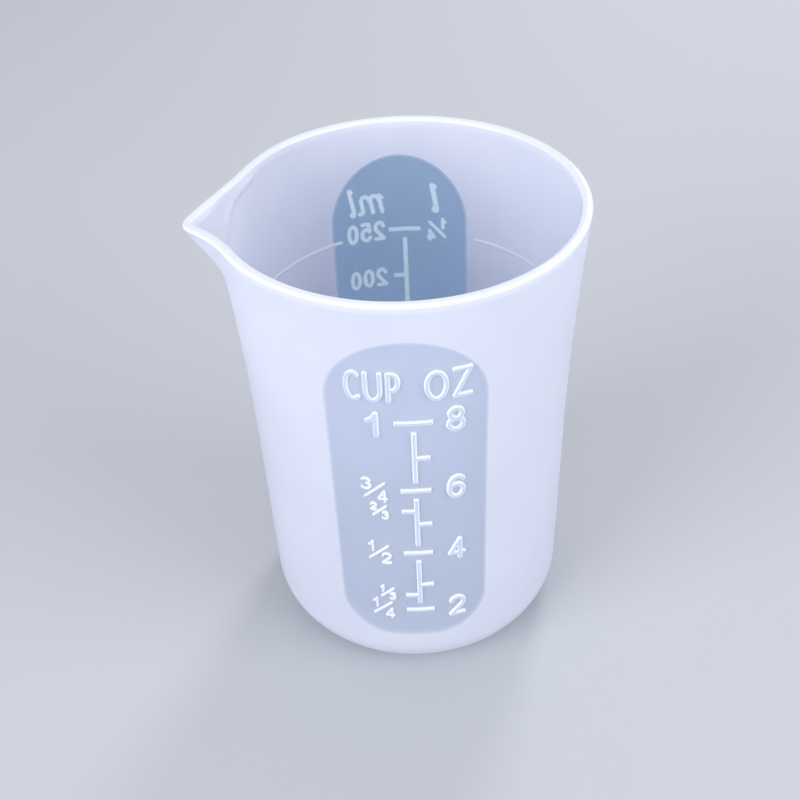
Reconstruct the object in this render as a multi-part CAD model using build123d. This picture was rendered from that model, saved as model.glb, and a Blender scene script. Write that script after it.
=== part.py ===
from build123d import *
import math
import os

# A one-piece silicone cup for measuring, mixing and pouring resin. Millimetres and degrees.
# The origin is the middle of the foot and +Z is up. The pouring lip points along -X, the front
# window faces -Y and the rear window +Y. One moulding is split here where its finish changes.

# Cup
HEIGHT = 105.0         # foot to rim
FLARE_START = 50.0     # height of the waist, where the straight wall turns into the flare
WAIST_RADIUS = 34.6    # outside
FOOT_TAPER = 0.4       # how much the straight wall draws in from the waist to the foot
RIM_FLARE = 2.7        # how far the rim stands out past the waist
WALL = 2.0
FLOOR = 2.5
FOOT_CORNER = 9.6      # outside rounding between floor and wall
RIM_ROUND = 0.7        # rounding of both edges of the rim
RIM_BAND = 1.8         # height of the glossy rim

# Pouring lip
LIP_HEIGHT = 21.5      # from where the lip leaves the round wall up to the tip
LIP_OVERHANG = 6.9     # how far the tip stands out past the round rim
LIP_DROP = 3.5         # how far the tip lies under the rim
DIP_RUN = 21.9         # from the tip back to where the rim starts to fall
NOSE_HALF_WIDTH = 2.2  # outside half width of the rounded tip
NOSE_ANGLE = 40.0      # how far each side of the tip turns off the lip's direction
ROOT_ANGLE = 28.5      # where each side leaves the round wall, about the cup's axis
PANEL_ANGLE = 32.0     # half of the stretch of wall that the lip takes, about the cup's axis
NOSE_INSIDE_SHARE = 0.42
HANDLE_SHARE = 0.45    # a side's two curve handles, as a share of its chord

# Levels of the lip, from the round wall up, as shares of its height, its overhang and its root
# angle. Sharpness is how far a level has turned from the round wall into a spout.
LEVEL_HEIGHT_SHARES = (0.0, 0.10, 0.24, 0.39, 0.53, 0.67, 0.81, 1.0, 1.22)
LEVEL_OVERHANG_SHARES = (0.0, 0.008, 0.035, 0.10, 0.21, 0.42, 0.68, 1.0, 1.36)
LEVEL_SPREAD_SHARES = (0.32, 0.33, 0.35, 0.39, 0.46, 0.57, 0.71, 0.89, 1.06)
LEVEL_SHARPNESS_SHARES = (0.0, 0.02, 0.08, 0.24, 0.48, 0.74, 0.91, 1.0, 1.03)

# Windows
WINDOW_HALF_WIDTH = 15.7
WINDOW_SHIFT = -0.8    # window centres from the cup's axis, towards the lip
WINDOW_FOOT_GAP = 1.1  # from the rounded foot corner up to a window
WINDOW_RIM_GAP = 8.2   # from the rim down to a window's arch
WINDOW_CORNER = 11.0   # rounding of the lower corners

# Scales
MARK_WIDTH = 1.1       # width of each raised line
MARK_RELIEF = 0.5      # how far the lines stand out of the wall
LINE_X = 0.4           # upright line from the cup's axis
SCALE_TOP = 77.0       # height of the highest bar
SCALE_BOTTOM = 22.2    # height of the lowest bar of the front scale
MARK_GAP = 2.3         # from a bar's middle to the end of the upright line
TOP_BAR_REACH = 3.8    # reach of the highest bar to each side of the upright line
BAR_REACH = 3.1        # reach of the other bars and ticks
BAR_SHARES = (0.0, 1 / 3, 2 / 3, 1.0)
CUP_TICK_SHARES = (0.09, 0.56)
OUNCE_TICK_SHARES = (0.15, 0.49, 0.83)
MILLILITRE_TICK_SHARES = (-0.05, 0.225, 0.50, 0.77)

# Level rings inside, at the upper bars of the front scale
RING_WIDTH = 1.0
RING_RELIEF = 0.35
RING_OVERLAP = 1.2     # how far each ring's end runs in over a window's edge
RING_NAMES = ("half_cup", "three_quarter_cup", "one_cup")

OVERRUN = 3.0          # how far every cutting body runs past what it cuts
ROUND_LIMIT_SHARE = 0.45

WALL_SLOPE = FOOT_TAPER / FLARE_START
FLARE_RISE = HEIGHT - FLARE_START
FLARE = RIM_FLARE - WALL_SLOPE * FLARE_RISE
FOOT_RADIUS = WAIST_RADIUS - FOOT_TAPER
FLOOR_RADIUS = FOOT_RADIUS - FOOT_CORNER
FOOT_TOP = FLOOR + FOOT_CORNER
RIM_RADIUS = WAIST_RADIUS + RIM_FLARE
LIP_REACH = RIM_RADIUS + LIP_OVERHANG
TIP_HEIGHT = HEIGHT - LIP_DROP
LIP_FOOT = TIP_HEIGHT - LIP_HEIGHT
DIP_START = LIP_REACH - DIP_RUN
DIP_RADIUS = (DIP_RUN**2 + LIP_DROP**2) / (2 * LIP_DROP)
WINDOW_BOTTOM = FOOT_TOP + WINDOW_FOOT_GAP
WINDOW_TOP = HEIGHT - WINDOW_RIM_GAP
SPAN = RIM_RADIUS + LIP_REACH + OVERRUN


def wall_radius(z):
    """Outside radius of the round wall: straight to the waist, then a parabola."""
    flare = max(z - FLARE_START, 0) / FLARE_RISE
    return FOOT_RADIUS + WALL_SLOPE * z + FLARE * flare**2


def scale_height(share):
    """Height of a mark that stands this share of the way up the front scale."""
    return SCALE_BOTTOM + share * (SCALE_TOP - SCALE_BOTTOM)


def round_body(inset, bottom, top, corner=0):
    """Solid of the round wall's shape, moved in by inset, with its foot rounded by corner."""
    middle = (FLARE_START + top) / 2
    foot = (wall_radius(bottom) - inset, bottom)
    waist = (WAIST_RADIUS - inset, FLARE_START)
    handle = (WAIST_RADIUS - inset + WALL_SLOPE * (middle - FLARE_START), middle)
    crown = (wall_radius(top) - inset, top)
    flare = Bezier(waist, handle, crown)
    rest = Polyline(crown, (0, top), (0, bottom), foot)
    outline = make_face(Plane.XZ * Curve([Line(foot, waist), flare, rest]))
    if corner:
        foot_edge = outline.vertices().group_by(Axis.Z)[0].sort_by(Axis.X)[-1]
        outline = fillet(foot_edge, corner)
    return revolve(outline, Axis.Z)


def lip_outline(z, radius, reach, spread, sharpness, half_width):
    """Level section of the cup: a round back, two hollow sides and a rounded nose on -X."""
    root = Vector(-radius * math.cos(spread), radius * math.sin(spread), z)
    round_angle = math.asin(half_width / radius)
    nose_angle = round_angle + (math.radians(NOSE_ANGLE) - round_angle) * sharpness
    nose = Vector(-reach + half_width * math.tan(nose_angle / 2), half_width, z)
    handle = (nose - root).length * HANDLE_SHARE
    off_root = Vector(-math.sin(spread), -math.cos(spread), 0) * handle
    off_nose = Vector(math.sin(nose_angle), math.cos(nose_angle), 0) * handle
    back = ThreePointArc((radius, 0, z), (0, radius, z), root)
    side = Bezier(root, root + off_root, nose + off_nose, nose)
    tip = ThreePointArc(nose, (-reach, 0, z), (nose.X, -nose.Y, z))
    return make_face([back, side, tip, side.mirror(Plane.XZ), back.mirror(Plane.XZ)])


def lip_body(inset, half_width):
    """The cup above LIP_FOOT as a solid, moved in by inset square to its leaning keel."""
    heights = [LIP_FOOT + share * (TIP_HEIGHT - LIP_FOOT) for share in LEVEL_HEIGHT_SHARES]
    overhang = LIP_REACH - wall_radius(TIP_HEIGHT)
    keel = [wall_radius(z) + share * overhang for z, share in zip(heights, LEVEL_OVERHANG_SHARES)]
    levels = []
    for i, z in enumerate(heights):
        below = max(i - 1, 0)
        above = min(i + 1, len(heights) - 1)
        lean = (keel[above] - keel[below]) / (heights[above] - heights[below]) if i else 0
        radius = wall_radius(z) - inset
        reach = keel[i] - inset * math.hypot(1, lean)
        spread = math.radians(ROOT_ANGLE) * LEVEL_SPREAD_SHARES[i]
        levels.append(lip_outline(z, radius, reach, spread, LEVEL_SHARPNESS_SHARES[i], half_width))
    return loft(levels)


def above_rim(drop=0):
    """Everything over the rim's surface, less drop: level, then an arc that falls to the tip."""
    top = HEIGHT - drop
    run = DIP_RUN + OVERRUN
    low = top - DIP_RADIUS + math.sqrt(DIP_RADIUS**2 - run**2)
    end = (-DIP_START - run, low)
    dip = TangentArc((-DIP_START, top), end, tangent=(-1, 0))
    ceiling = HEIGHT + SPAN
    rest = Polyline(end, (-SPAN, low), (-SPAN, ceiling), (SPAN, ceiling), (SPAN, top), (-DIP_START, top))
    return extrude(make_face(Plane.XZ * Curve([dip, rest])), SPAN, both=True)


def rim_edges(cup):
    """Both edges of the rim's top, all the way round."""
    flat = (GeomType.PLANE, GeomType.CYLINDER)
    tops = [f for f in cup.faces() if f.center().Z > TIP_HEIGHT and f.geom_type in flat]
    edges = [edge for face in tops for edge in face.edges()]
    return [edge for edge in edges if sum(edge.is_same(other) for other in edges) == 1]


def outside_body():
    """The cup filled solid, carried on up past its rim."""
    return round_body(0, 0, LIP_FOOT, FOOT_CORNER) + lip_body(0, NOSE_HALF_WIDTH)


def inside_body():
    """What the cup holds, carried on up past its rim."""
    nose = NOSE_HALF_WIDTH * NOSE_INSIDE_SHARE
    return round_body(WALL, FLOOR, LIP_FOOT, FOOT_CORNER - WALL) + lip_body(WALL, nose)


def whole_cup(outside, inside):
    """The moulding in one piece, with its rim rounded."""
    cup = outside - inside - above_rim()
    return fillet(rim_edges(cup), min(RIM_ROUND, WALL * ROUND_LIMIT_SHARE))


def slab(bottom, top):
    """Everything between two heights."""
    return Pos(0, 0, bottom) * Cylinder(SPAN, top - bottom, align=(Align.CENTER, Align.CENTER, Align.MIN))


def lip_sector():
    """The wedge over LIP_FOOT that holds the lip."""
    half = SPAN * math.tan(math.radians(PANEL_ANGLE))
    wedge = make_face(Polyline((0, 0), (-SPAN, half), (-SPAN, -half), (0, 0)))
    return Pos(0, 0, LIP_FOOT) * extrude(wedge, SPAN)


def window_prism(side):
    """A window's outline, half round above and rounded below, run out through one wall."""
    left = WINDOW_SHIFT - WINDOW_HALF_WIDTH
    right = WINDOW_SHIFT + WINDOW_HALF_WIDTH
    spring = WINDOW_TOP - WINDOW_HALF_WIDTH
    corner = min(WINDOW_CORNER, WINDOW_HALF_WIDTH)
    arch = ThreePointArc((left, spring), (WINDOW_SHIFT, WINDOW_TOP), (right, spring))
    rest = Polyline((right, spring), (right, WINDOW_BOTTOM), (left, WINDOW_BOTTOM), (left, spring))
    outline = make_face(Plane.XZ * Curve([arch, rest]))
    outline = fillet(outline.vertices().group_by(Axis.Z)[0], corner)
    return extrude(outline, SPAN, dir=(0, side, 0))


def raised(marks, side, outside):
    """Marks given as (left, right, bottom, top), standing out of the front or rear wall."""
    blocks = []
    for left, right, bottom, top in marks:
        middle = ((left + right) / 2, side * SPAN / 2, (bottom + top) / 2)
        blocks.append(Pos(middle) * Box(right - left, SPAN, top - bottom))
    return (round_body(-MARK_RELIEF, 0, HEIGHT) & (Part() + blocks)) - outside


def level_mark(left_reach, right_reach, height):
    """A level mark that reaches to each side of the upright line."""
    half = MARK_WIDTH / 2
    return (LINE_X - left_reach, LINE_X + right_reach, height - half, height + half)


def upright(bottom, top):
    """A stretch of the upright line."""
    half = MARK_WIDTH / 2
    return (LINE_X - half, LINE_X + half, bottom, top)


def front_bars():
    """The four bars of the front scale. The highest is the longest."""
    marks = [level_mark(BAR_REACH, BAR_REACH, scale_height(share)) for share in BAR_SHARES[:-1]]
    return marks + [level_mark(TOP_BAR_REACH, TOP_BAR_REACH, SCALE_TOP)]


def front_line():
    """The upright line between the front bars, with cup ticks to the left and ounces to the right."""
    stops = [scale_height(share) for share in BAR_SHARES]
    marks = [upright(low + MARK_GAP, high - MARK_GAP) for low, high in zip(stops, stops[1:])]
    marks += [level_mark(BAR_REACH, 0, scale_height(share)) for share in CUP_TICK_SHARES]
    return marks + [level_mark(0, BAR_REACH, scale_height(share)) for share in OUNCE_TICK_SHARES]


def rear_bar():
    """The highest bar of the rear scale."""
    return [level_mark(TOP_BAR_REACH, TOP_BAR_REACH, SCALE_TOP)]


def rear_line():
    """The rear scale's upright line, with its millilitre ticks."""
    heights = [scale_height(share) for share in MILLILITRE_TICK_SHARES]
    line = upright(heights[0] - MARK_WIDTH / 2, SCALE_TOP - MARK_GAP)
    return [line] + [level_mark(BAR_REACH, 0, height) for height in heights]


def level_ring(height, inside):
    """A thin raised ring inside the wall, left open across both windows."""
    disc = inside & slab(height - RING_WIDTH / 2, height + RING_WIDTH / 2)
    opening = 2 * (WINDOW_HALF_WIDTH - RING_OVERLAP)
    gap = Pos(WINDOW_SHIFT, 0, height) * Box(opening, 2 * SPAN, HEIGHT)
    return disc - round_body(WALL + RING_RELIEF, 0, HEIGHT) - gap


def nodes():
    """Every stretch of the moulding by name. Together they fill it with no gap and no overlap."""
    outside = outside_body()
    inside = inside_body()
    cup = whole_cup(outside, inside)
    rim_zone = above_rim(RIM_BAND)
    body = cup - rim_zone
    floor_zone = Cylinder(FLOOR_RADIUS, HEIGHT)
    foot = body & slab(0, FOOT_TOP)
    side = body - slab(0, FOOT_TOP)
    front = window_prism(-1)
    rear = window_prism(1)
    lip = lip_sector()
    parts = {
        "cup_floor": foot & floor_zone,
        "foot_corner": foot - floor_zone,
        "side_wall": side - lip - front - rear,
        "front_window": side & front,
        "rear_window": side & rear,
        "pouring_lip": side & lip,
        "rim_edge": cup & rim_zone,
        "front_scale_bars": raised(front_bars(), -1, outside),
        "front_scale_line": raised(front_line(), -1, outside),
        "rear_scale_bar": raised(rear_bar(), 1, outside),
        "rear_scale_line": raised(rear_line(), 1, outside),
    }
    for name, share in zip(RING_NAMES, BAR_SHARES[1:]):
        parts["level_ring_" + name] = level_ring(scale_height(share), inside)
    return parts


os.makedirs("parts", exist_ok=True)
for name, solid in nodes().items():
    export_step(solid, f"parts/{name}.step")
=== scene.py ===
import math

import bpy
import numpy as np
from bpy.props import FloatProperty, FloatVectorProperty, PointerProperty
from bpy.types import Operator, Panel, PropertyGroup
from mathutils import Matrix, Vector


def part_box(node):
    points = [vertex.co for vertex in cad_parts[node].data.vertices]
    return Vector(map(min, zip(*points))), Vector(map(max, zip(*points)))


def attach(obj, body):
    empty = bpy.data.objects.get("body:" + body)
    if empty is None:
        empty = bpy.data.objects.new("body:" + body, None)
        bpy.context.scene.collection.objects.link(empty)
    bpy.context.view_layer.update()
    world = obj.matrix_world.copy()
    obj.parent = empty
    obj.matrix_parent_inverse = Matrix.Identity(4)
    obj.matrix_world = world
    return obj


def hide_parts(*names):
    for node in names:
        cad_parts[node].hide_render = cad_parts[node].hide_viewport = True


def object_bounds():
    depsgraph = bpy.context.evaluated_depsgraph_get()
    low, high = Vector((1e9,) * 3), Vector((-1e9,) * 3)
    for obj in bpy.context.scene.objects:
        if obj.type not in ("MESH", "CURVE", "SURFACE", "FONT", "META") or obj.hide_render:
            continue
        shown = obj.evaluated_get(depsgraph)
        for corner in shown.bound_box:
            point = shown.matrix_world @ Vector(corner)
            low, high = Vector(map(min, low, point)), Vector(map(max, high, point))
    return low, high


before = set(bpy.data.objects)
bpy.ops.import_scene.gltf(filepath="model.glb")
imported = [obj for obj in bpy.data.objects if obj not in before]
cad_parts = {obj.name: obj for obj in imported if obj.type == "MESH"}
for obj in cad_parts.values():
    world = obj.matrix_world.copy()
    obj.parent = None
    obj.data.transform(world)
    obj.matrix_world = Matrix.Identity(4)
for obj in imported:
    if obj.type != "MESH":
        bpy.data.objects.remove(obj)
cad_low, cad_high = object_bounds()

bl_info = {
    "name": "Silicone Mixing Cup",
    "version": (1, 0, 0),
    "blender": (4, 5, 0),
    "location": "View3D > Sidebar > Mixing Cup",
    "description": "Builds a one-piece silicone measuring cup with a pouring lip, and a stage for it",
    "category": "Add Mesh",
}

MM = 0.001
BODY = "root"

# Levels of the lip, from the round wall up, as shares of its height, its overhang and its root
# angle. Sharpness is how far a level has turned from the round wall into a spout.
LEVEL_HEIGHT_SHARES = np.array((0.0, 0.10, 0.24, 0.39, 0.53, 0.67, 0.81, 1.0, 1.22))
LEVEL_OVERHANG_SHARES = np.array((0.0, 0.008, 0.035, 0.10, 0.21, 0.42, 0.68, 1.0, 1.36))
LEVEL_SPREAD_SHARES = np.array((0.32, 0.33, 0.35, 0.39, 0.46, 0.57, 0.71, 0.89, 1.06))
LEVEL_SHARPNESS_SHARES = np.array((0.0, 0.02, 0.08, 0.24, 0.48, 0.74, 0.91, 1.0, 1.03))

# Crease inside the lip: degrees off the lip's axis, and millimetres above the foot
CREASE_TURNS = (0.0, 5.3, 8.0, 10.7, 14.1, 19.3, 23.2, 32.7)
CREASE_HEIGHTS = (94.6, 96.3, 97.8, 99.4, 101.0, 101.8, 102.2, 102.4)

# Marks, as shares of the way up the front scale
BAR_SHARES = (0.0, 1 / 3, 2 / 3, 1.0)
CUP_TICK_SHARES = (0.09, 0.56)
OUNCE_TICK_SHARES = (0.15, 0.49, 0.83)
MILLILITRE_TICK_SHARES = (-0.05, 0.225, 0.50, 0.77)

# Columns and rows of the moulded surfaces. The arcs of the wall follow each other round the axis.
ARC_COLUMNS = {"right": 96, "rear_window": 48, "rear": 28, "lip": 176, "front": 28, "front_window": 48}
CURVED_ROWS = 24
STRAIGHT_ROWS = 28
BAND_ROWS = 16
ROUND_STEPS = 8
NOSE_STEPS = 60
SIDE_STEPS = 240
FOOT_COLUMNS = 288
FLOOR_RINGS = 20
RING_COLUMNS = 120
STAGE_COLUMNS = 96
SHORT_ROWS = 3
STROKE_POINTS = 25

# How much closer the lip's columns lie at its nose, and share of its panel where the crease fades
NOSE_CROWDING = 0.7
CREASE_FADE = 0.25

# Raised marks: share of a step within which a point moves on to the outline, least square of the
# slope there, and share of the way up an edge from which a face counts as level
OUTLINE_REACH = 0.55
LEAST_SLOPE = 0.5
LEVEL_SHARE = 0.9

# Points nearer to each other than this are one, and rounds in which a height on the rim settles
TOUCH = 0.001 * MM
RIM_ROUNDS = 14

# Letters of the front words: middle from the cup's axis, and width, in millimetres
FRONT_LETTERS = {"C": (-10.75, 3.45), "U": (-6.83, 3.8), "P": (-3.05, 2.9), "O": (4.95, 4.75), "Z": (9.9, 4.1)}

# Figures of the rear scale, from the lowest tick up to the bar, and a one's share of their width
MILLILITRES = ("50", "100", "150", "200", "250")
REAR_ONE_WIDTH = 0.55

# Figures of a fraction, as shares of its height: middles from its own, widths and height
TOP_FIGURE = (-0.36, 0.36)
BOTTOM_FIGURE = (0.34, -0.36)
FIGURE_WIDTH = 0.50
ONE_WIDTH = 0.30
FIGURE_HEIGHT = 0.74

# Fractions of a cup: figures, middle from the axis and above the foot, and size, in millimetres
CUP_FRACTIONS = (
    ("1", "4", -7.85, 22.4, 4.5),
    ("1", "3", -6.6, 27.75, 3.2),
    ("1", "2", -7.9, 40.4, 4.6),
    ("2", "3", -7.15, 52.9, 3.3),
    ("3", "4", -7.9, 58.7, 4.6),
)

# Letters of the rear words: middle from the axis and above the words' middle, width and height, in
# millimetres, and shares of the rear line's width and of the slant
REAR_LETTERS = (
    ("m", 7.3, -1.0, 6.0, 5.2, 1.0, 0.7),
    ("l", 11.9, 0.0, 2.2, 7.5, 1.0, 1.0),
    ("l", -7.6, 0.0, 2.4, 7.6, 1.2, 1.0),
)

# Quarter of a litre: middle from the axis and size, in millimetres, and share of the rear line
LITRE_FRACTION = (-8.2, 4.4, 0.85)

# Silicone rubber: refraction, height of the ripples in its skin, and how clear a clear window is
SILICONE_IOR = 1.41
RIPPLE_HEIGHT = 0.1 * MM
SEE_THROUGH = 0.78

# Soft boxes: place and side in metres, and power in watts
SOFT_BOXES = {
    "key_softbox": ((-0.68, -0.54, 0.36), 0.60, 7.2),
    "fill_softbox": ((0.75, -0.40, 0.34), 0.70, 6.4),
    "rear_softbox": ((0.30, 0.75, 0.60), 0.22, 3.0),
}
SURROUND_STRENGTH = 0.62

# The photograph's camera, in millimetres and degrees
CAMERA_PLACE = (0, -193.57, 213.26)
CAMERA_TARGET = (-2.28, 0, 53.59)
CAMERA_ROLL = -2.854
CAMERA_LENS = 50
CAMERA_SENSOR = 36


def arc(x, y, half_width, half_height, start, end):
    """Points along an ellipse, from one angle to another in degrees, anticlockwise from the right."""
    bend = np.radians(np.linspace(start, end, STROKE_POINTS))
    return np.stack([x + half_width * np.cos(bend), y + half_height * np.sin(bend)], -1).tolist()


# Centre lines of the raised letters and figures, in a box one wide and one high
GLYPHS = {
    "C": [arc(0.62, 0.5, 0.62, 0.5, 54, 306)],
    "U": [[[0, 1], *arc(0.5, 0.36, 0.5, 0.36, 180, 360), [1, 1]]],
    "P": [[[0, 0], [0, 1], *arc(0.45, 0.7, 0.55, 0.3, 90, -90), [0, 0.4]]],
    "O": [arc(0.5, 0.5, 0.5, 0.5, 0, 360)],
    "Z": [[[0, 1], [1, 1], [0, 0], [1, 0]]],
    "m": [
        [[-0.08, 0.86], [0.04, 1], [0.04, 0]],
        [[0.04, 0.6], *arc(0.28, 0.72, 0.2, 0.28, 160, 0), [0.48, 0]],
        [[0.48, 0.6], *arc(0.72, 0.72, 0.2, 0.28, 160, 0), *arc(1.06, 0.2, 0.14, 0.2, 180, 300)],
    ],
    "l": [[[0, 0.94], [0.42, 1], *arc(0.72, 0.16, 0.3, 0.16, 180, 330)]],
    "0": [arc(0.5, 0.5, 0.5, 0.5, 0, 360)],
    "1": [[[0, 0.68], [0.5, 0.76], [0.85, 0.9], [1, 1], [1, 0]]],
    "2": [[*arc(0.5, 0.7, 0.5, 0.3, 165, -30), [0, 0], [1, 0]]],
    "3": [[*arc(0.46, 0.755, 0.48, 0.245, 150, -75), *arc(0.46, 0.27, 0.54, 0.27, 75, -150)]],
    "4": [[[0.74, 0], [0.74, 1], [0, 0.27], [1, 0.27]]],
    "5": [[[0.92, 1], [0.16, 1], [0.06, 0.52], *arc(0.47, 0.33, 0.53, 0.33, 115, -150)]],
    "6": [arc(0.5, 0.31, 0.5, 0.31, 0, 360), [*arc(0.58, 0.5, 0.58, 0.5, 48, 180), [0, 0.31]]],
    "8": [arc(0.5, 0.76, 0.42, 0.24, 0, 360), arc(0.5, 0.26, 0.5, 0.26, 0, 360)],
    "/": [[[0, 0], [1, 1]]],
}


def hex_colour(text):
    """Linear RGBA of an sRGB hex colour."""
    srgb = np.array([int(text[i : i + 2], 16) for i in (1, 3, 5)]) / 255
    linear = np.where(srgb <= 0.04045, srgb / 12.92, ((srgb + 0.055) / 1.055) ** 2.4)
    return (*linear.tolist(), 1.0)


def length(millimetres, text):
    """A length property, given in millimetres."""
    return FloatProperty(description=text, default=millimetres * MM, unit="LENGTH", precision=5)


def angle(degrees, text):
    """An angle property, given in degrees."""
    return FloatProperty(description=text, default=math.radians(degrees), subtype="ANGLE")


def share(value, text):
    """A share from 0 to 1."""
    return FloatProperty(description=text, default=value, min=0, max=1, subtype="FACTOR")


def colour(srgb, text):
    """A colour property, given as an sRGB hex colour."""
    return FloatVectorProperty(description=text, default=hex_colour(srgb), size=4, min=0, max=1, subtype="COLOR")


def labelled(group):
    """Labels each setting of a group with the words of its name."""
    for name, setting in group.__annotations__.items():
        setting.keywords["name"] = name.replace("_", " ").title()
    return group


@labelled
class CupBodySizes(PropertyGroup):
    """Sizes of the round cup."""

    height: length(cad_high.z / MM, "Foot to rim")
    waist_height: length(50.0, "Where the straight wall turns into the flare")
    waist_radius: length(34.6, "Outside, at the waist")
    foot_taper: length(0.4, "How much the straight wall draws in from the waist to the foot")
    rim_flare: length(2.7, "How far the rim stands out past the waist")
    wall: length(2.0, "Thickness of the wall")
    floor: length(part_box("cup_floor")[1].z / MM, "Thickness of the floor")
    foot_corner: length(9.6, "Outside rounding between floor and wall")
    rim_round: length(0.7, "Rounding of both edges of the rim")
    rim_band: length(1.8, "Height of the glossy rim")


@labelled
class PouringLipSizes(PropertyGroup):
    """Sizes of the pouring lip."""

    height: length(21.5, "From where the lip leaves the round wall up to the tip")
    overhang: length(6.72, "How far the tip stands out past the round rim")
    drop: length(3.5, "How far the tip lies under the rim")
    dip_run: length(21.72, "From the tip back to where the rim starts to fall")
    nose_half_width: length(2.2, "Outside half width of the rounded tip")
    nose_angle: angle(40, "How far each side of the tip turns off the lip's direction")
    root_angle: angle(28.5, "Where each side leaves the round wall")
    panel_angle: angle(32, "Half of the stretch of wall that the lip takes")
    nose_inside: share(0.42, "Inside half width of the tip, as a share of the outside one")
    handle: share(0.45, "A side's curve handles, as a share of its chord")
    crease: length(0.5, "Rise of the soft crease where the round inside wall meets the lip")
    crease_width: length(0.7, "Half width of that crease")


@labelled
class WindowSizes(PropertyGroup):
    """Sizes and clearness of the two windows."""

    half_width: length(15.7, "From the middle to a side")
    shift: length(-0.8, "Middle of the windows from the cup's axis")
    bottom: length(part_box("front_window")[0].z / MM, "Height of the lower edge")
    top: length(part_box("front_window")[1].z / MM, "Height of the arch")
    corner: length(11.0, "Rounding of the lower corners")
    soft_edge: length(1.0, "Width over which the frosting fades out at a window's edge")
    soft_foot: length(2.6, "The same at a window's foot")
    front_outside: share(0.48, "How clear the outside face of the front window is")
    front_inside: share(0.42, "How clear the inside face of the front window is")
    rear_outside: share(0.92, "How clear the outside face of the rear window is")
    rear_inside: share(0.97, "How clear the inside face of the rear window is")


@labelled
class MarkSizes(PropertyGroup):
    """Sizes of the raised scales and of the level rings."""

    width: length(1.1, "Width of each raised line")
    relief: length(0.5, "How far the marks stand out of the wall")
    seat: length(0.03, "How far a mark's base is set into the wall")
    edge: length(0.28, "Rounding along the edges of the marks")
    mesh_step: length(0.1, "Spacing of the points that the marks are drawn with")
    line_x: length(0.4, "Upright line from the cup's axis")
    scale_top: length(77.0, "Height of the highest bar")
    scale_bottom: length(22.2, "Height of the lowest bar")
    gap: length(2.3, "From a bar's middle to the end of the upright line")
    top_bar_reach: length(3.8, "Reach of the highest bar to each side of the line")
    bar_reach: length(3.1, "Reach of the other bars and ticks")
    ring_width: length(1.0, "Width of the level rings")
    ring_relief: length(0.35, "How far the level rings stand out of the inside wall")
    ring_gap: length(15.2, "Half width of the gaps that the rings leave at the windows")
    ring_front: length(-0.8, "Middle of the front gap from the cup's axis")
    ring_rear: length(1.1, "Middle of the rear gap from the cup's axis")


@labelled
class LabelSizes(PropertyGroup):
    """Sizes of the raised numerals and unit words."""

    word_line: length(1.05, "Width of the unit words' strokes")
    word_height: length(7.5, "Height of the unit words on the front")
    word_middle: length(86.1, "Height of the front words' middle above the foot")
    numeral_line: length(1.2, "Width of the whole numbers' strokes")
    numeral_height: length(6.6, "Height of the whole numbers")
    numeral_width: length(4.0, "Width of a whole number")
    numeral_x: length(8.55, "Middle of the ounce numbers from the cup's axis")
    one_x: length(-7.5, "Middle of the figure at one cup from the cup's axis")
    one_width: length(2.75, "Width of the figure at one cup")
    one_drop: length(0.4, "How far that figure's middle lies under the highest bar")
    fraction_line: length(0.62, "Width of the fractions' strokes")
    rear_line: length(1.0, "Width of the strokes of the rear figures")
    rear_height: length(5.2, "Height of the rear figures")
    rear_width: length(2.9, "Width of a rear figure")
    rear_pitch: length(3.25, "From one rear figure to the next")
    rear_first: length(5.55, "Middle of the first rear figure from the cup's axis")
    rear_middle: length(85.0, "Height of the rear words' middle above the foot")
    slant: length(1.3, "How far the tall rear letters lean over their height")


@labelled
class SiliconeColours(PropertyGroup):
    """Colours of the silicone's finishes and of the stage."""

    frosted: colour("#E8EAF2", "Frosted wall, lip and foot")
    shaded: colour("#DFE3EF", "Thicker flow of the frosted wall")
    clear: colour("#D6E0F2", "Clear windows")
    clear_deep: colour("#C8D6EA", "Thicker flow of the clear windows")
    through: colour("#C2D6E8", "What the clear windows let through")
    marks: colour("#C8D3EA", "Level faces of the raised marks")
    # Near-white tint that paints a highlight along the rounded edges of the marks, the level rings and the top of
    # the rim
    edges: colour("#E8ECF6", "Rounded edges of the raised marks, and the level rings")
    # Warm near-white tint that the backs of the marks give off as a painted glow
    backs: colour("#F8F1E4", "Backs of the raised marks, which show through the windows from inside")
    floor: colour("#B9BCC2", "Floor of the stage")


def turned(radius, turn, z):
    """Points at these radii and angles about the cup's axis, and at these heights."""
    x = radius * np.cos(turn)
    return np.stack([x, radius * np.sin(turn), np.broadcast_to(z, x.shape)], -1)


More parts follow.
